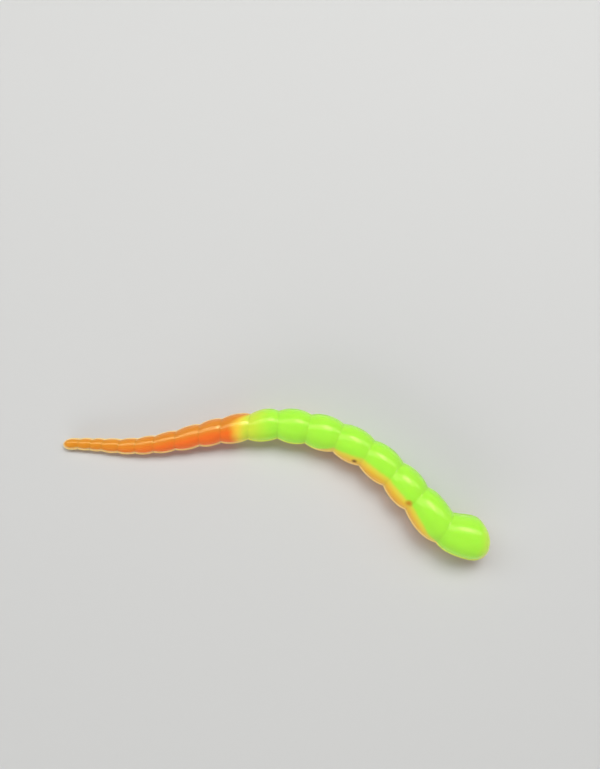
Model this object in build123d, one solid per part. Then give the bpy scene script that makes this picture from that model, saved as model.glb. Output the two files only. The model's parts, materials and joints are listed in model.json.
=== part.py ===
from build123d import *
from math import cos, radians, sin, tan
import os

# Ringed soft plastic worm for trout fishing, in two colours, about 65 mm along the body.
#
# The real worm is one soft moulding that bends at its grooves. Here each ring is rigid and turns on its
# neighbour at the groove between them: the ring behind has a round knuckle on the groove's upright middle
# line, and the ring ahead has a square pocket for it. The slot at the groove leaves room for the bend.
# The head and the seven rings behind it are lime on the back and orange on the belly. The two colours
# meet on a flat parting face, rolled a little towards the worm's right side where the belly shows.
# The ring where the colours run together, and the tail, are one piece each.
#
# Millimetres and degrees. The worm lies on Z = 0 with its nose towards +X, and the origin is on the
# ground below the middle of the box round the whole worm.

# Diameters of the body, at the widest place of a ring.
HEAD_DIAMETER = 5.7
BODY_DIAMETER = 4.97
TIP_DIAMETER = 1.42
# The tail grows from the tip to the full body over this length: partly in a straight taper, for the rest
# in a smooth step. The head flares over the length behind the nose.
TAPER_LENGTH = 37.5
TAPER_STRAIGHTNESS = 0.3
FLARE_LENGTH = 19.0

# Length of each ring from groove to groove, from the nose to the tip of the tail.
LIME_RINGS = (5.95, 5.35, 4.55, 4.7, 4.6, 4.5, 4.35, 4.2)
TRANSITION_RING = (4.05,)
ORANGE_RINGS = (3.2, 3.55, 3.15, 2.65, 2.5, 2.4, 1.75, 1.8, 2.2)
RING_LENGTHS = LIME_RINGS + TRANSITION_RING + ORANGE_RINGS

# Which way each ring points as the worm lies, counted anticlockwise from +X.
RING_HEADINGS = (
    -19.5, -47.5, -47.5, -39.5, -28.5, -17, -8.5, 3.5, 7.5, 11, 12, 9.5, 5, 0, -4, -3, -3, 1,
)
# The grooves from the last lime ring to the tip lean, further forward on the worm's left side.
TAIL_GROOVE_LEAN = 10.0

# Grooves: depth as a share of the body's radius there, ahead of the orange tail and in it, and how far each
# bends to either side.
GROOVE_SHARE = 0.17
TAIL_GROOVE_SHARE = 0.12
BEND_LIMIT = 15.0
# Pockets: half of the width and half of the height, as shares of the groove's radius. Clearance round a
# knuckle in its pocket, and what is left between two rims at the bend limit.
POCKET_WIDTH_SHARE = 0.74
POCKET_HEIGHT_SHARE = 0.52
KNUCKLE_CLEARANCE = 0.05
RIM_CLEARANCE = 0.08

# A ring is a level band between two shoulders. Length of a shoulder as a share of the ring's length, and
# how far it runs on past its groove before the rim is cut, as a share of the shoulder.
SHOULDER_SHARE = 0.25
PAST_GROOVE = 0.8

# Blunt nose: the bevel of its edge, across the face and along the head, and where the face points.
NOSE_BEVEL_ACROSS = 0.95
NOSE_BEVEL_ALONG = 1.1
NOSE_HEADING = -6.0

# Roll of the parting face in each lime ring, and the depth of the flat that the worm lies on.
PARTING_ROLLS = (8, 30, 38, 38, 34, 14, 0, 0)
BELLY_FLAT = 0.06

RINGS = len(RING_LENGTHS)
BODY_LENGTH = sum(RING_LENGTHS)
LAST = RINGS - 1


def direction(heading):
    """Level unit vector at a heading."""
    return Vector(cos(radians(heading)), sin(radians(heading)), 0)


def ease(share):
    """Smooth step from 0 to 1."""
    share = min(max(share, 0.0), 1.0)
    return share * share * (3 - 2 * share)


def body_radius(from_tip):
    """Radius of the body's envelope at a distance from the tip of the tail."""
    grown = min(from_tip / TAPER_LENGTH, 1)
    grown = TAPER_STRAIGHTNESS * grown + (1 - TAPER_STRAIGHTNESS) * ease(grown)
    taper = (BODY_DIAMETER - TIP_DIAMETER) * grown
    flare = (HEAD_DIAMETER - BODY_DIAMETER) * ease(1 - (BODY_LENGTH - from_tip) / FLARE_LENGTH)
    return (TIP_DIAMETER + taper + flare) / 2


def groove_radius(groove):
    """Radius at the bottom of a groove. Groove 0 stands for the nose and the last one for the tip."""
    share = GROOVE_SHARE if groove <= len(LIME_RINGS) else TAIL_GROOVE_SHARE
    return body_radius(sum(RING_LENGTHS[groove:])) * (1 - share)


def lay_pivots():
    """Centre of the body at the nose, at each groove and at the tip, as the worm lies."""
    place = Vector(0, 0, 0)
    pivots = []
    for groove in range(RINGS + 1):
        height = body_radius(sum(RING_LENGTHS[groove:])) - BELLY_FLAT
        pivots.append(Vector(place.X, place.Y, height))
        if groove < RINGS:
            place -= direction(RING_HEADINGS[groove]) * RING_LENGTHS[groove]
    return pivots


PIVOTS = lay_pivots()


def groove_normal(groove):
    """Normal of a groove's plane, towards the nose."""
    heading = (RING_HEADINGS[groove - 1] + RING_HEADINGS[groove]) / 2
    if groove >= len(LIME_RINGS):
        heading -= TAIL_GROOVE_LEAN
    return direction(heading)


def rim_setback(groove):
    """Distance from a groove's middle to the rim on either side of it."""
    return groove_radius(groove) * tan(radians(BEND_LIMIT / 2)) + RIM_CLEARANCE / 2


def beyond(plane):
    """Block that fills the space on the far side of a plane, away from its normal."""
    reach = 4 * HEAD_DIAMETER
    return plane * Pos(0, 0, -reach / 2) * Box(reach, reach, reach)


def turned(ring, outline):
    """Turns an outline round the ring's axis, from its front pivot at X = 0 to its rear pivot."""
    along = PIVOTS[ring + 1] - PIVOTS[ring]
    side = along.cross(Vector(0, 0, 1))
    place = Plane(origin=PIVOTS[ring], x_dir=along, z_dir=side)
    return place * revolve(make_face(outline), Axis.X)


def bulge_radius(ring):
    """Radius at the widest place of a ring, half way along it."""
    return body_radius(sum(RING_LENGTHS[ring + 1:]) + RING_LENGTHS[ring] / 2)


def shoulder(ring, groove):
    """Corners of a ring's shoulder: on its axis past the groove, above that, and at the level band."""
    inward = 1 if groove == ring else -1
    start = 0 if groove == ring else RING_LENGTHS[ring]
    length = RING_LENGTHS[ring] * SHOULDER_SHARE
    middle = bulge_radius(ring)
    fall = (middle - groove_radius(groove)) * (1 + PAST_GROOVE)
    past = start - inward * length * PAST_GROOVE
    return [(past, 0), (past, middle - fall), (start + inward * length, middle)]


def barrel(ring):
    """A ring with a shoulder to the groove at each end."""
    return turned(ring, Polyline(*shoulder(ring, ring), *reversed(shoulder(ring, ring + 1)), close=True))


def head():
    """The level band of the head runs forward to a blunt nose with a bevelled edge."""
    middle = bulge_radius(0)
    front = [(-middle, 0), (-middle, middle)]
    body = turned(0, Polyline(*front, *reversed(shoulder(0, 1)), close=True))
    body -= beyond(Plane(origin=PIVOTS[0], z_dir=-direction(NOSE_HEADING)))
    face = body.faces().sort_by(Axis.X)[-1]
    return chamfer(face.edges(), NOSE_BEVEL_ACROSS, NOSE_BEVEL_ALONG, reference=face)


def tail_tip():
    """The level band of the last ring ends in a half ball."""
    length, middle = RING_LENGTHS[LAST], bulge_radius(LAST)
    front = shoulder(LAST, LAST)
    wall = Polyline(*front, (length - middle, middle))
    end = CenterArc((length - middle, 0), middle, 0, 90)
    return turned(LAST, wall + end + Line((length, 0), front[0]))


def upright(groove):
    """Level plane at a groove's pivot, with its X towards the tail."""
    return Plane(origin=PIVOTS[groove], x_dir=-groove_normal(groove), z_dir=(0, 0, 1))


def knuckle(groove):
    """Round knuckle of the ring behind a groove."""
    radius = groove_radius(groove) * POCKET_WIDTH_SHARE - KNUCKLE_CLEARANCE
    height = 2 * (groove_radius(groove) * POCKET_HEIGHT_SHARE - KNUCKLE_CLEARANCE)
    return upright(groove) * Cylinder(radius, height)


def pocket(groove):
    """Space for a knuckle in the ring ahead of it."""
    width = 2 * groove_radius(groove) * POCKET_WIDTH_SHARE
    height = 2 * groove_radius(groove) * POCKET_HEIGHT_SHARE
    return upright(groove) * Box(width, width, height)


def whole_ring(ring):
    """One ring with the flat under it, its rims cut, its knuckle in front and its pocket behind."""
    shapes = {0: head, LAST: tail_tip}
    body = shapes[ring]() if ring in shapes else barrel(ring)
    middle = (PIVOTS[ring] + PIVOTS[ring + 1]) / 2
    body -= beyond(Plane(origin=(middle.X, middle.Y, 0)))
    if ring > 0:
        backward = -groove_normal(ring)
        body -= beyond(Plane(origin=PIVOTS[ring] + backward * rim_setback(ring), z_dir=backward))
        body += knuckle(ring)
    if ring < LAST:
        groove = ring + 1
        forward = groove_normal(groove)
        body -= beyond(Plane(origin=PIVOTS[groove] + forward * rim_setback(groove), z_dir=forward))
        body -= pocket(groove)
    return body


def two_shots(ring, body):
    """Parts a lime ring into its lime back and its orange belly."""
    left = direction(RING_HEADINGS[ring] + 90)
    roll = radians(PARTING_ROLLS[ring])
    middle = (PIVOTS[ring] + PIVOTS[ring + 1]) / 2
    below = beyond(Plane(origin=middle, z_dir=Vector(0, 0, cos(roll)) + left * sin(roll)))
    return body - below, body & below


def make_nodes():
    """Every piece by name."""
    nodes = {}
    for ring in range(RINGS):
        body = whole_ring(ring)
        if ring < len(LIME_RINGS):
            name = "head" if ring == 0 else f"ring_{ring + 1:02d}"
            nodes[name + "_back"], nodes[name + "_belly"] = two_shots(ring, body)
        elif ring == len(LIME_RINGS):
            nodes["transition_ring"] = body
        elif ring == LAST:
            nodes["tail_tip"] = body
        else:
            nodes[f"tail_ring_{ring - len(LIME_RINGS)}"] = body
    return nodes


nodes = make_nodes()
box = Compound([shape.solid() for shape in nodes.values()]).bounding_box()
to_origin = Pos(-box.center().X, -box.center().Y, 0)

os.makedirs("parts", exist_ok=True)
for name, shape in nodes.items():
    export_step(to_origin * shape.solid(), f"parts/{name}.step")

print("size", box.size)
for groove, place in enumerate(PIVOTS):
    pivot = (to_origin * Pos(*place)).position
    radius = groove_radius(groove)
    print("groove", groove, "pivot", *(round(value, 4) for value in pivot), "radius", round(radius, 4))
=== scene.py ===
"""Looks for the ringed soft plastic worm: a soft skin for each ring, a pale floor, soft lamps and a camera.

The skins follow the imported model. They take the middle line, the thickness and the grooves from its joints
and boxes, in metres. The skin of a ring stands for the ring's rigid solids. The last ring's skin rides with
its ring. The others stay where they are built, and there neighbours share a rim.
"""

import json
import math

import bmesh
import bpy
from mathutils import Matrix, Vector, noise

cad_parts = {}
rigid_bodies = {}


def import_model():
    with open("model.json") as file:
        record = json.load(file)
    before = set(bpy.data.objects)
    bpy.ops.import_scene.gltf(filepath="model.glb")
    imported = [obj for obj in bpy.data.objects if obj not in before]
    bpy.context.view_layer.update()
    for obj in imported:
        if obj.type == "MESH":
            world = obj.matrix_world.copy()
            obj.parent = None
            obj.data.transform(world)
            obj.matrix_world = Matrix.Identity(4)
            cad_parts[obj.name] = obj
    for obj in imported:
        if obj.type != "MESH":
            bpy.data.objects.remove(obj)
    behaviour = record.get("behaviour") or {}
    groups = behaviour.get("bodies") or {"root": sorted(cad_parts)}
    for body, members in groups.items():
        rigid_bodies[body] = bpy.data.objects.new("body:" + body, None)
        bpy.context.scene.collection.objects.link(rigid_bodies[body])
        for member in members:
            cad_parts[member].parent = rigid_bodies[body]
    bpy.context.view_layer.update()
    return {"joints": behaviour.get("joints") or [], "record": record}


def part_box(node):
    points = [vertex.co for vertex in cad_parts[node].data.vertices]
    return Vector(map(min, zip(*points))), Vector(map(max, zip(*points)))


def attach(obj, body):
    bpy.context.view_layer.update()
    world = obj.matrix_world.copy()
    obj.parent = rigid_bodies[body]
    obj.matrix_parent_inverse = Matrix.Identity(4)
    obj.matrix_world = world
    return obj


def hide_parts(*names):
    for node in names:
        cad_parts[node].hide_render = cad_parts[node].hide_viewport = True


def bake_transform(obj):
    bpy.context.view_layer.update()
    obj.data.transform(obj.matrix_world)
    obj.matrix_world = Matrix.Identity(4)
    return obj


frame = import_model()

MM = 0.001
UP = Vector((0, 0, 1))

# How many rings from the nose are lime. The ring after them is where the colours run together.
LIME_RINGS = 8
# Grooves: depth as a share of the body's radius there, ahead of the orange tail and in it, rounding of the
# bottom, and the lean of those from the last lime ring to the tip.
GROOVE_SHARE = 0.17
TAIL_GROOVE_SHARE = 0.12
GROOVE_ROUND = 0.09 * MM
TAIL_GROOVE_LEAN = math.radians(10)
# The flat that the worm lies on, and the rounding of its edges.
BELLY_FLAT = 0.06 * MM
FLAT_ROUND = 0.04 * MM
# How full the wall is between two grooves: 2 is a plain arch, more is flatter in the middle.
BULGE_POWER = 2.3
# Slight unevenness of the soft moulding: depth as a share of the radius, waves per millimetre along the worm,
# and waves round it.
UNEVEN_DEPTH = 0.008
UNEVEN_ALONG = 0.45
UNEVEN_ROUND = 1.3

# Line of flash at mid height all round, where the halves of the mould met: how far it stands out, and how far
# above or below its middle it has fallen to about a third of that.
FLASH_HEIGHT = 0.15 * MM
FLASH_HALF_THICKNESS = 0.06 * MM

# Blunt nose: radius of the head there, rounding of its edge, swell of its middle, and where it points.
NOSE_RADIUS = 2.35 * MM
NOSE_ROUND = 1.9 * MM
NOSE_SWELL = 0.3 * MM
NOSE_HEADING = math.radians(-6)
# Tip of the tail: length of its rounding as a share of the last ring's radius, and the radius of its very end
# as a share of the rounding's.
TIP_ROUND = 1.7
TIP_END = 0.02

# The parting face between lime and orange: distance from the nose and drop below the worm's middle, both in
# millimetres, and the roll that brings the orange up on the right side, in degrees.
PARTING = (
    (0.0, 0.6, 14),
    (3.0, 1.4, 0),
    (5.0, 1.25, 8),
    (6.5, 0.95, 36),
    (8.5, 0.8, 51),
    (11.3, 0.55, 57),
    (15.8, 0.55, 62),
    (20.5, 0.55, 58),
    (25.1, 0.6, 40),
    (29.6, 1.0, 0),
    (34.0, 1.2, 0),
)

# Mesh steps along a ring and round it, and how strongly those round it gather at the flash. Then those over
# the rounding of the nose's edge or of the tail's tip, and across the nose's face.
STEPS_ALONG = 26
STEPS_ROUND = 96
GATHER = 0.35
EDGE_STEPS = 12
FACE_STEPS = 5


# ---- The line of the body ----

joints = frame["joints"]
bodies = [joints[0]["parent"]] + [joint["child"] for joint in joints]
body_nodes = frame["record"]["behaviour"]["bodies"]
LAST = len(bodies) - 1


def lay_pivots():
    """Middle of the body at the nose, at each groove and at the tip."""
    nose = next(mount for mount in frame["record"]["mounts"] if mount["name"] == "nose")
    grooves = [Vector(joint["pos_m"]) for joint in joints]
    low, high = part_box(body_nodes[bodies[LAST]][0])
    last = grooves[-1]
    tip = Vector((low.x, low.y + high.y - last.y, last.z))
    return [Vector(nose["pos_m"]), *grooves, tip]


PIVOTS = lay_pivots()
LENGTHS = [(b - a).length for a, b in zip(PIVOTS, PIVOTS[1:])]
HEADINGS = [math.atan2(a.y - b.y, a.x - b.x) for a, b in zip(PIVOTS, PIVOTS[1:])]


def groove_heading(groove):
    """Where a groove's plane points. The nose counts as groove 0 and the tip as the last."""
    if groove == 0:
        return NOSE_HEADING
    if groove > LAST:
        return HEADINGS[LAST]
    lean = TAIL_GROOVE_LEAN if groove >= LIME_RINGS else 0
    return (HEADINGS[groove - 1] + HEADINGS[groove]) / 2 - lean


def level(heading):
    """Level unit vector at a heading."""
    return Vector((math.cos(heading), math.sin(heading), 0))


def groove_radius(groove):
    """Radius at the bottom of a groove. The body rests on its flat, so its height there gives its radius."""
    share = GROOVE_SHARE if groove <= LIME_RINGS else TAIL_GROOVE_SHARE
    return (PIVOTS[groove].z + BELLY_FLAT) * (1 - share)


def bulge_radius(ring):
    """Radius at the widest place of a ring, from the top of its solids."""
    top = max(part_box(node)[1].z for node in body_nodes[bodies[ring]])
    return top - (PIVOTS[ring].z + PIVOTS[ring + 1].z) / 2


def middle_line(ring, share):
    """Point on the body's middle line, at a share of the ring's length from its front.

    The line is a smooth curve through the pivots. At each it runs parallel to the line between the two
    pivots beside it.
    """
    front, rear = PIVOTS[ring], PIVOTS[ring + 1]
    before = PIVOTS[ring - 1] if ring > 0 else front
    after = PIVOTS[ring + 2] if ring < LAST else rear
    leave = (rear - before).normalized() * LENGTHS[ring]
    arrive = (after - front).normalized() * LENGTHS[ring]
    square, cube = share * share, share * share * share
    point = front * (2 * cube - 3 * square + 1) + rear * (3 * square - 2 * cube)
    return point + leave * (cube - 2 * square + share) + arrive * (cube - square)


def wall_radius(ring, place):
    """Radius of the wall at a distance from the ring's front groove, or from the nose."""
    length = LENGTHS[ring]
    front = NOSE_RADIUS if ring == 0 else groove_radius(ring)
    rear = groove_radius(ring + 1)
    to_end = min(place, length - place)
    if ring > 0 or place > length / 2:
        to_end = math.hypot(to_end, GROOVE_ROUND) - GROOVE_ROUND
    from_middle = 1 - 2 * to_end / length
    rise = bulge_radius(ring) - (front + rear) / 2
    return front + (rear - front) * place / length + rise * (1 - from_middle ** BULGE_POWER)


# ---- Skins ----

def nose_sections():
    """Sections of the nose: a small face, then the rounding of its edge."""
    rim = wall_radius(0, 0) - NOSE_ROUND
    sections = [(0, rim * step / FACE_STEPS, math.pi / 2) for step in range(1, FACE_STEPS + 1)]
    for step in range(1, EDGE_STEPS):
        turn = math.pi / 2 * step / EDGE_STEPS
        place = NOSE_ROUND * (1 - math.cos(turn))
        inset = NOSE_ROUND * (1 - math.sin(turn))
        sections.append((place, wall_radius(0, place) - inset, math.pi / 2 - turn))
    return sections


def tip_sections(start):
    """Sections of the rounding that ends the tail."""
    length = LENGTHS[LAST] - start
    radius = wall_radius(LAST, start)
    sections = []
    for step in range(1, EDGE_STEPS + 1):
        turn = math.pi / 2 * step / EDGE_STEPS
        reach = radius * max(math.cos(turn), TIP_END)
        sections.append((start + length * math.sin(turn), reach, -turn))
    return sections


def ring_sections(ring):
    """Sections of a skin from front to rear: place along the ring, radius, and which way the wall faces.

    The wall faces straight out at 0, forward at a right angle and backward at minus a right angle.
    """
    start = NOSE_ROUND if ring == 0 else 0.0
    end = LENGTHS[ring] - TIP_ROUND * bulge_radius(ring) if ring == LAST else LENGTHS[ring]
    sections = nose_sections() if ring == 0 else []
    for step in range(STEPS_ALONG + 1):
        share = (1 - math.cos(math.pi * step / STEPS_ALONG)) / 2
        place = start + (end - start) * share
        sections.append((place, wall_radius(ring, place), 0.0))
    if ring == LAST:
        sections += tip_sections(end)
    return sections


def nose_swell(ring, place, radius):
    """How far the middle of the nose stands forward of its edge."""
    if ring > 0 or place >= NOSE_ROUND:
        return 0.0
    return NOSE_SWELL * (1 - (radius / wall_radius(0, NOSE_ROUND)) ** 2)


def section_points(ring, place, radius, facing):
    """Points round one section. With each go its place on the worm and its height over the parting face.

    A place on the worm is given from the nose's middle: along, to the left and up, in millimetres, as if the
    worm lay straight.
    """
    share = place / LENGTHS[ring]
    turned = share * share * (3 - 2 * share) if ring == 0 else share
    front, rear = groove_heading(ring), groove_heading(ring + 1)
    forward = level(front + (rear - front) * turned)
    left = UP.cross(forward)
    middle = middle_line(ring, share) + forward * nose_swell(ring, place, radius)
    along = sum(LENGTHS[:ring]) + place
    drop, roll = parting_face(along)
    points, places, heights = [], [], []
    for step in range(STEPS_ROUND):
        even = 2 * math.pi * step / STEPS_ROUND
        turn = even + GATHER * math.sin(2 * even)
        out = UP * math.cos(turn) + left * math.sin(turn)
        ridge = flash(radius * math.cos(turn))
        point = middle + out * radius * (1 + uneven(along, turn))
        point += (out * math.cos(facing) + forward * math.sin(facing)) * ridge
        point.z = (point.z + math.hypot(point.z, FLAT_ROUND)) / 2
        points.append(point)
        places.append(Vector((along, radius * math.sin(turn), radius * math.cos(turn))) / MM)
        heights.append(radius * math.cos(turn - roll) / MM + drop)
    return points, places, heights


def uneven(along, turn):
    """Slight unevenness of the soft moulding, as a share of the radius."""
    place = Vector((along / MM * UNEVEN_ALONG, math.cos(turn) * UNEVEN_ROUND, math.sin(turn) * UNEVEN_ROUND))
    return UNEVEN_DEPTH * noise.noise(place)


def flash(height):
    """How far the line of flash stands out at a height above or below its middle."""
    return FLASH_HEIGHT * math.exp(-(height / FLASH_HALF_THICKNESS) ** 2)


def parting_face(along):
    """Drop in millimetres and roll of the parting face at a distance from the nose."""
    place = min(along / MM, PARTING[-1][0])
    for (start, drop, roll), (end, next_drop, next_roll) in zip(PARTING, PARTING[1:]):
        if place <= end:
            share = (place - start) / (end - start)
            return drop + (next_drop - drop) * share, math.radians(roll + (next_roll - roll) * share)


def join_rows(mesh, rows, ring):
    """Walls between rows of points and a cap on each end. A cap that meets a neighbour has a sharp edge."""
    for row, next_row in zip(rows, rows[1:]):
        for step in range(STEPS_ROUND):
            after = (step + 1) % STEPS_ROUND
            mesh.faces.new((row[step], row[after], next_row[after], next_row[step]))
    front_cap = mesh.faces.new(reversed(rows[0]))
    rear_cap = mesh.faces.new(rows[-1])
    for face in mesh.faces:
        face.smooth = True
    for cap, sharp in ((front_cap, ring > 0), (rear_cap, ring < LAST)):
        for edge in cap.edges:
            edge.smooth = not sharp
    bmesh.ops.recalc_face_normals(mesh, faces=mesh.faces)


def ring_skin(ring):
    """Closed skin of one ring, with the place of each point on the worm kept for its material."""
    mesh = bmesh.new()
    places, heights, rows = [], [], []
    for place, radius, facing in ring_sections(ring):
        points, row_places, row_heights = section_points(ring, place, radius, facing)
        rows.append([mesh.verts.new(point) for point in points])
        places += row_places
        heights += row_heights
    join_rows(mesh, rows, ring)
    name = "skin_" + bodies[ring]
    data = bpy.data.meshes.new(name)
    mesh.to_mesh(data)
    mesh.free()
    place_attribute = data.attributes.new("worm_place", "FLOAT_VECTOR", "POINT")
    place_attribute.data.foreach_set("vector", [value for place in places for value in place])
    height_attribute = data.attributes.new("over_parting", "FLOAT", "POINT")
    height_attribute.data.foreach_set("value", heights)
    skin = bpy.data.objects.new(name, data)
    bpy.context.scene.collection.objects.link(skin)
    return skin


# ---- Materials ----

# Colours of the plastic: the back from the nose to the transition, the belly and the transition, the tail,
# a pale glow painted along the flash on orange and on lime, which is painted light at the thin edges, and the
# two marks.
NOSE_LIME = (0.62, 0.97, 0.075)
LIME = (0.41, 0.90, 0.055)
LEMON = (0.64, 0.79, 0.055)
BELLY_ORANGE = (0.88, 0.30, 0.02)
AMBER = (0.92, 0.58, 0.045)
BELLY_YELLOW = (0.82, 0.74, 0.07)
YELLOW = (0.93, 0.63, 0.055)
RED_ORANGE = (0.95, 0.155, 0.01)
LIGHT_ORANGE = (0.75, 0.245, 0.015)
TIP_ORANGE = (0.74, 0.27, 0.008)
# The next two are painted light: a pale glow at the thin edges along the flash, on orange and on lime.
PAINTED_GLOW_CREAM = (0.98, 0.70, 0.29)
PAINTED_GLOW_LIME = (0.96, 0.96, 0.21)
STAIN = (0.62, 0.26, 0.012)
SPECK = (0.20, 0.07, 0.001)

# Where one colour has run into the next, in millimetres from the nose. LIME_GROOVE is the groove behind the
# last lime ring, and the tail's orange stays behind it.
NOSE_TO_LIME = (0.2, 1.9)
LIME_TO_LEMON = (34.3, 38.4)
LEMON_TO_YELLOW = (38.0, 39.9)
LIME_END = (38.0, 39.9)
LIME_GROOVE = (37.9, 38.6)
YELLOW_TO_ORANGE = (39.6, 41.4)
ORANGE_TO_TIP = (48.0, 66.0)
# The orange of the tail comes forward on the flanks: how far, in millimetres, at 1 mm from the middle. It
# grows with the square of the distance.
LEFT_FLANK_SLANT = 0.8
RIGHT_FLANK_SLANT = 0.12
# The tail is red on the right and light on the left: from where to where, in millimetres to the left.
RED_TO_LIGHT = (-1.0, 0.2)
# Heights over the parting face, in millimetres, through which orange turns yellow and yellow turns lime. The
# place where amber stands on the way from orange to yellow.
ORANGE_TO_YELLOW = (-2.5, 0.3)
AMBER_PLACE = 0.80
YELLOW_TO_LIME = (0.0, 0.65)

# The colours wander: waves per millimetre, and how far in millimetres from one extreme to the other, at the
# parting face and along the worm. The lime is cloudy: waves per millimetre, and how much lighter or darker.
# All three have the same number of finer layers on top.
PARTING_WAVES = 0.9
PARTING_WANDER = 0.3
BAND_WAVES = 0.7
BAND_WANDER = 0.5
CLOUD_WAVES = 0.5
CLOUD_TINT = 0.05
COLOUR_LAYERS = 2.0

# The pale glow painted along the flash, which is painted light at the thin edges: heights above or below the
# flash, in millimetres, through which it fades, and its strength. At the tip it is broader by a share, which
# grows between two distances from the nose. On lime a share of it is lost on the right side, and all of it on
# the left, with a change between two places across the worm.
RIM_FADE = (0.1, 0.46)
PAINTED_GLOW_STRENGTH = 0.85
TIP_RIM_SPREAD = 0.12
RIM_SPREADS = (50.0, 64.0)
RIM_LOST_ON_LIME = 0.35
RIM_RIGHT_TO_LEFT = (-0.1, 0.1)

# Small moulding marks: place on the worm and radius, in millimetres, and colour. Then the share of a mark's
# radius within which it shows in full.
MARKS = (((11.7, -1.5, 1.6), 0.75, STAIN), ((21.5, -2.2, 1.0), 0.65, SPECK))
MARK_CORE = 0.1

# How strongly the plastic of each slot shines. The thin tail shines most.
GLOSS = {"lime_shot": 0.5, "blended_shot": 0.65, "orange_shot": 0.85}
GLOSS_TINT = (1.0, 0.92, 0.45, 1)
ROUGHNESS = 0.2
REFRACTION = 1.5
# Soft glow at the edges of the plastic, and light that enters it and comes out further on.
SHEEN = 0.5
SHEEN_ROUGHNESS = 0.25
SHEEN_TINT = (1.0, 0.85, 0.6, 1)
SUBSURFACE = 0.5
SUBSURFACE_RADIUS = (1.0, 0.8, 0.3)
SUBSURFACE_SCALE = 0.35 * MM
# Fine grain of the plastic: waves per millimetre, number of finer layers on top, and depth.
GRAIN_WAVES = 3.0
GRAIN_LAYERS = 3.0
GRAIN_DEPTH = 0.008 * MM


def link(tree, source, target):
    tree.links.new(source, target)


def math_node(tree, operation, first, second):
    """Result of an operation on two values, each of them a number or another node's output."""
    node = tree.nodes.new("ShaderNodeMath")
    node.operation = operation
    for socket, value in zip(node.inputs, (first, second)):
        if isinstance(value, (int, float)):
            socket.default_value = value
        else:
            link(tree, value, socket)
    return node.outputs[0]


def smooth_range(tree, value, low, high):
    """0 up to low, 1 from high, and a smooth step between."""
    node = tree.nodes.new("ShaderNodeMapRange")
    node.interpolation_type = "SMOOTHSTEP"
    node.inputs["From Min"].default_value = low
    node.inputs["From Max"].default_value = high
    link(tree, value, node.inputs["Value"])
    return node.outputs["Result"]


def noise_node(tree, place, waves, layers=COLOUR_LAYERS):
    """Smooth noise from 0 to 1, with finer layers on top."""
    node = tree.nodes.new("ShaderNodeTexNoise")
    node.inputs["Scale"].default_value = waves
    node.inputs["Detail"].default_value = layers
    link(tree, place, node.inputs["Vector"])
    return node.outputs["Fac"]


def wandering(tree, value, where, waves, wander):
    """A value that wanders a little from place to place."""
    around = math_node(tree, "SUBTRACT", noise_node(tree, where, waves), 0.5)
    return math_node(tree, "ADD", value, math_node(tree, "MULTIPLY", around, wander))


def mix_colour(tree, share, first, second):
    """The first colour at a share of 0, and the second at 1."""
    node = tree.nodes.new("ShaderNodeMix")
    node.data_type = "RGBA"
    link(tree, share, node.inputs["Factor"])
    for socket, value in ((node.inputs["A"], first), (node.inputs["B"], second)):
        if isinstance(value, tuple):
            socket.default_value = (*value, 1)
        else:
            link(tree, value, socket)
    return node.outputs["Result"]


def ramp(tree, value, stops):
    """Colour that runs from stop to stop as a value goes from 0 to 1."""
    node = tree.nodes.new("ShaderNodeValToRGB")
    elements = node.color_ramp.elements
    while len(elements) < len(stops):
        elements.new(0.5)  # its place is set below
    for element, (position, colour) in zip(elements, stops):
        element.position = position
        element.color = (*colour, 1)
    link(tree, value, node.inputs["Fac"])
    return node.outputs["Color"]


def belly_colour(tree, height):
    """Orange, which turns amber and then yellow near the parting face."""
    share = smooth_range(tree, height, *ORANGE_TO_YELLOW)
    return ramp(tree, share, ((0.0, BELLY_ORANGE), (AMBER_PLACE, AMBER), (1.0, BELLY_YELLOW)))


def lime_share(tree, where, along, height):
    """1 on the lime of the back, falling to 0 down at the parting face and towards the tail."""
    height = wandering(tree, height, where, PARTING_WAVES, PARTING_WANDER)
    over = smooth_range(tree, height, *YELLOW_TO_LIME)
    ahead = math_node(tree, "SUBTRACT", 1.0, smooth_range(tree, along, *LIME_END))
    return math_node(tree, "MULTIPLY", over, ahead)


def tail_colour(tree, along, side):
    """Red orange on the right side and light orange on the left, which both turn golden towards the tip."""
    orange = mix_colour(tree, smooth_range(tree, side, *RED_TO_LIGHT), RED_ORANGE, LIGHT_ORANGE)
    return mix_colour(tree, smooth_range(tree, along, *ORANGE_TO_TIP), orange, TIP_ORANGE)


def tail_share(tree, along, side):
    """1 on the orange of the tail, which comes forward on the flanks but not into the lime rings."""
    left = math_node(tree, "POWER", math_node(tree, "MAXIMUM", side, 0.0), 2.0)
    right = math_node(tree, "POWER", math_node(tree, "MINIMUM", side, 0.0), 2.0)
    left = math_node(tree, "MULTIPLY", left, LEFT_FLANK_SLANT)
    right = math_node(tree, "MULTIPLY", right, RIGHT_FLANK_SLANT)
    reach = math_node(tree, "ADD", along, math_node(tree, "ADD", left, right))
    behind = smooth_range(tree, along, *LIME_GROOVE)
    return math_node(tree, "MULTIPLY", behind, smooth_range(tree, reach, *YELLOW_TO_ORANGE))


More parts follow.
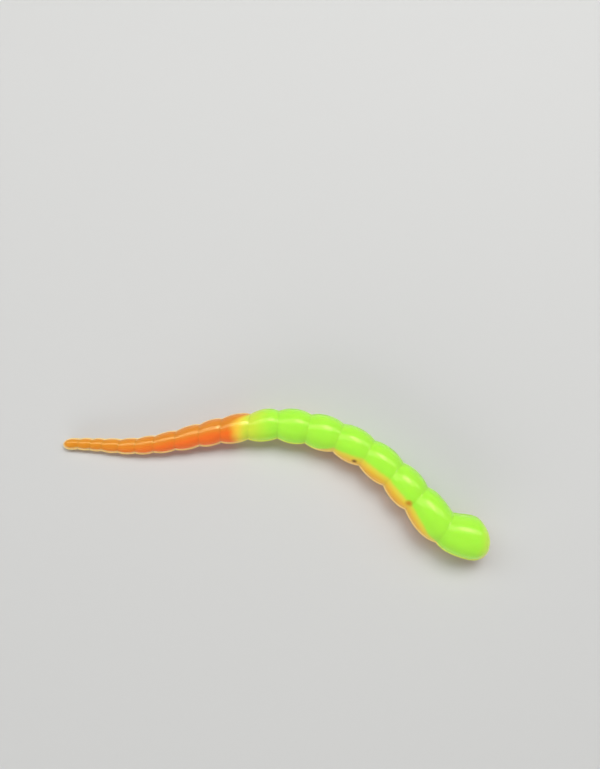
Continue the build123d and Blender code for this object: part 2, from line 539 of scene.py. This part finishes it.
def painted_glow_share(tree, along, side, up, lime):
    """How much of the painted glow along the flash shows. It is painted light, broader at the tip, and on
    lime only on the right.
    """
    spread = math_node(tree, "MULTIPLY", smooth_range(tree, along, *RIM_SPREADS), TIP_RIM_SPREAD)
    narrowed = math_node(tree, "SUBTRACT", 1.0, spread)
    from_flash = math_node(tree, "MULTIPLY", math_node(tree, "ABSOLUTE", up, 0.0), narrowed)
    near = math_node(tree, "SUBTRACT", 1.0, smooth_range(tree, from_flash, *RIM_FADE))
    on_left = smooth_range(tree, side, *RIM_RIGHT_TO_LEFT)
    more_lost = math_node(tree, "MULTIPLY", on_left, 1 - RIM_LOST_ON_LIME)
    lost = math_node(tree, "ADD", RIM_LOST_ON_LIME, more_lost)
    kept = math_node(tree, "SUBTRACT", 1.0, math_node(tree, "MULTIPLY", lime, lost))
    return math_node(tree, "MULTIPLY", math_node(tree, "MULTIPLY", near, kept), PAINTED_GLOW_STRENGTH)


def scaled(colour, factor):
    """Lighter or darker colour."""
    return tuple(channel * factor for channel in colour)


def spot(tree, where, centre, radius):
    """1 at a place on the worm, falling to 0 at a radius from it."""
    node = tree.nodes.new("ShaderNodeVectorMath")
    node.operation = "DISTANCE"
    link(tree, where, node.inputs[0])
    node.inputs[1].default_value = centre
    near = smooth_range(tree, node.outputs["Value"], MARK_CORE * radius, radius)
    return math_node(tree, "SUBTRACT", 1.0, near)


def attribute_node(tree, name, output):
    """What the skins keep for each point under a name."""
    node = tree.nodes.new("ShaderNodeAttribute")
    node.attribute_name = name
    return node.outputs[output]


def worm_colour(tree, where):
    """Colour at a place on the worm: lime back, orange belly and orange tail, with a painted edge glow and
    marks.
    """
    split = tree.nodes.new("ShaderNodeSeparateXYZ")
    link(tree, where, split.inputs[0])
    along, side, up = split.outputs
    height = attribute_node(tree, "over_parting", "Fac")
    wandered = wandering(tree, along, where, BAND_WAVES, BAND_WANDER)
    lime = lime_share(tree, where, wandered, height)
    cloud = noise_node(tree, where, CLOUD_WAVES)
    back = mix_colour(tree, cloud, scaled(LIME, 1 - CLOUD_TINT), scaled(LIME, 1 + CLOUD_TINT))
    back = mix_colour(tree, smooth_range(tree, along, *NOSE_TO_LIME), NOSE_LIME, back)
    back = mix_colour(tree, smooth_range(tree, wandered, *LIME_TO_LEMON), back, LEMON)
    belly = belly_colour(tree, height)
    belly = mix_colour(tree, smooth_range(tree, wandered, *LEMON_TO_YELLOW), belly, YELLOW)
    colour = mix_colour(tree, lime, belly, back)
    tail = tail_colour(tree, along, side)
    colour = mix_colour(tree, tail_share(tree, wandered, side), colour, tail)
    # Painted light: a pale glow at the thin edges along the flash, cream on orange and pale lime on lime.
    rim = mix_colour(tree, lime, PAINTED_GLOW_CREAM, PAINTED_GLOW_LIME)
    colour = mix_colour(tree, painted_glow_share(tree, along, side, up, lime), colour, rim)
    for centre, radius, mark in MARKS:
        colour = mix_colour(tree, spot(tree, where, centre, radius), colour, mark)
    return colour


def worm_plastic(name, gloss):
    """Soft, satin plastic that lets a little light in, with a fine grain."""
    material = bpy.data.materials.new(name)
    material.use_nodes = True
    tree = material.node_tree
    shader = tree.nodes["Principled BSDF"]
    where = attribute_node(tree, "worm_place", "Vector")
    link(tree, worm_colour(tree, where), shader.inputs["Base Color"])
    values = {
        "Roughness": ROUGHNESS,
        "IOR": REFRACTION,
        "Specular IOR Level": gloss,
        "Specular Tint": GLOSS_TINT,
        "Sheen Weight": SHEEN,
        "Sheen Roughness": SHEEN_ROUGHNESS,
        "Sheen Tint": SHEEN_TINT,
        "Subsurface Weight": SUBSURFACE,
        "Subsurface Radius": SUBSURFACE_RADIUS,
        "Subsurface Scale": SUBSURFACE_SCALE,
    }
    for socket, value in values.items():
        shader.inputs[socket].default_value = value
    bump = tree.nodes.new("ShaderNodeBump")
    bump.inputs["Distance"].default_value = GRAIN_DEPTH
    bump.inputs["Strength"].default_value = 1.0
    link(tree, noise_node(tree, where, GRAIN_WAVES, GRAIN_LAYERS), bump.inputs["Height"])
    link(tree, bump.outputs["Normal"], shader.inputs["Normal"])
    return material


# ---- Studio ----

# Floor: colour, how matt it is, how strongly it shines, and the length of its sides in metres.
FLOOR_COLOUR = (0.62, 0.62, 0.61)
FLOOR_ROUGHNESS = 0.9
FLOOR_GLOSS = 0.2
FLOOR_SIZE = 3.0
# Backdrop: its colour, how much of it lights the worm, and from how far out to how far out the floor runs
# out into it, in metres.
BACKDROP_COLOUR = (0.66, 0.66, 0.65)
BACKDROP_LIGHT = 0.25
FLOOR_FADE = (0.08, 0.30)

# Lamps: name, azimuth and elevation in degrees, distance in metres, width and height in metres, brightness
# as a multiple of a lit white surface's, and whether the lamp shows in highlights. Azimuth 0 is +X, 90 is +Y.
LAMPS = (
    ("key", 62, 58, 0.40, (0.17, 0.15), 5.8, True),
    ("strip", 90, 64, 0.40, (1.20, 0.20), 2.75, True),
    ("fill", 250, 14, 0.50, (0.70, 0.20), 3.3, False),
)

# Camera: what it points at, from how far and how high it looks, its focal length and sensor in millimetres,
# and the nearest that it sees.
AIM = Vector((4.35, 14.43, 2.02)) * MM
CAMERA_DISTANCE = 88.5 * MM
CAMERA_ELEVATION = math.radians(75)
CAMERA_LENS = 36.06
CAMERA_SENSOR = 36.0
CAMERA_NEAR = 5 * MM


def seen(tree):
    """1 for what the camera sees, straight or in something shiny or clear, and 0 for light on its way."""
    path = tree.nodes.new("ShaderNodeLightPath")
    mirrored = math_node(tree, "MAXIMUM", path.outputs["Is Glossy Ray"], path.outputs["Is Transmission Ray"])
    return math_node(tree, "MAXIMUM", path.outputs["Is Camera Ray"], mirrored)


def fade_to_backdrop(tree, shader):
    """Lets a floor shader run out into the backdrop's colour, far from the worm."""
    place = tree.nodes.new("ShaderNodeNewGeometry")
    away = tree.nodes.new("ShaderNodeVectorMath")
    away.operation = "LENGTH"
    link(tree, place.outputs["Position"], away.inputs[0])
    backdrop = tree.nodes.new("ShaderNodeEmission")
    backdrop.inputs["Color"].default_value = (*BACKDROP_COLOUR, 1)
    far = smooth_range(tree, away.outputs["Value"], *FLOOR_FADE)
    mix = tree.nodes.new("ShaderNodeMixShader")
    link(tree, math_node(tree, "MULTIPLY", far, seen(tree)), mix.inputs["Fac"])
    link(tree, shader.outputs["BSDF"], mix.inputs[1])
    link(tree, backdrop.outputs["Emission"], mix.inputs[2])
    link(tree, mix.outputs["Shader"], tree.nodes["Material Output"].inputs["Surface"])


def add_floor():
    half = FLOOR_SIZE / 2
    corners = [(-half, -half, 0), (half, -half, 0), (half, half, 0), (-half, half, 0)]
    data = bpy.data.meshes.new("floor")
    data.from_pydata(corners, [], [(0, 1, 2, 3)])
    floor = bpy.data.objects.new("floor", data)
    bpy.context.scene.collection.objects.link(floor)
    material = bpy.data.materials.new("pale_floor")
    material.use_nodes = True
    shader = material.node_tree.nodes["Principled BSDF"]
    shader.inputs["Base Color"].default_value = (*FLOOR_COLOUR, 1)
    shader.inputs["Roughness"].default_value = FLOOR_ROUGHNESS
    shader.inputs["Specular IOR Level"].default_value = FLOOR_GLOSS
    fade_to_backdrop(material.node_tree, shader)
    data.materials.append(material)


def add_lamp(name, azimuth, elevation, distance, size, brightness, in_highlights):
    """Area lamp that faces the worm."""
    data = bpy.data.lights.new(name, "AREA")
    data.shape = "RECTANGLE"
    data.size, data.size_y = size
    data.energy = math.pi * brightness * size[0] * size[1]
    lamp = bpy.data.objects.new(name, data)
    azimuth, elevation = math.radians(azimuth), math.radians(elevation)
    toward = level(azimuth) * math.cos(elevation) + UP * math.sin(elevation)
    lamp.location = toward * distance
    lamp.rotation_euler = toward.to_track_quat("Z", "Y").to_euler()
    lamp.visible_glossy = in_highlights
    bpy.context.scene.collection.objects.link(lamp)


def add_camera():
    data = bpy.data.cameras.new("camera")
    data.sensor_fit = "HORIZONTAL"
    data.sensor_width = CAMERA_SENSOR
    data.lens = CAMERA_LENS
    data.clip_start = CAMERA_NEAR
    camera = bpy.data.objects.new("camera", data)
    back = Vector((0, -math.cos(CAMERA_ELEVATION), math.sin(CAMERA_ELEVATION)))
    camera.location = AIM + back * CAMERA_DISTANCE
    camera.rotation_euler = (math.pi / 2 - CAMERA_ELEVATION, 0, 0)
    bpy.context.scene.collection.objects.link(camera)
    bpy.context.scene.camera = camera


def light_room():
    """The backdrop shows in full and gives only a part of its light. The lamps give the rest."""
    world = bpy.data.worlds.new("room")
    bpy.context.scene.world = world
    world.use_nodes = True
    tree = world.node_tree
    sky = tree.nodes["Background"]
    sky.inputs["Color"].default_value = (*BACKDROP_COLOUR, 1)
    unlit = math_node(tree, "MULTIPLY", seen(tree), 1 - BACKDROP_LIGHT)
    link(tree, math_node(tree, "ADD", unlit, BACKDROP_LIGHT), sky.inputs["Strength"])
    for lamp in LAMPS:
        add_lamp(*lamp)


# ---- Put together ----

def slot_of(ring):
    """Material slot of a ring."""
    if ring < LIME_RINGS:
        return "lime_shot"
    return "blended_shot" if ring == LIME_RINGS else "orange_shot"


materials = {slot: worm_plastic(slot, gloss) for slot, gloss in GLOSS.items()}
for ring, body in enumerate(bodies):
    skin = ring_skin(ring)
    skin.data.materials.append(materials[slot_of(ring)])
    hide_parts(*body_nodes[body])
    if ring == LAST:
        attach(skin, body)
    else:
        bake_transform(skin)

add_floor()
add_camera()
light_room()
bpy.context.scene.view_settings.view_transform = "Standard"
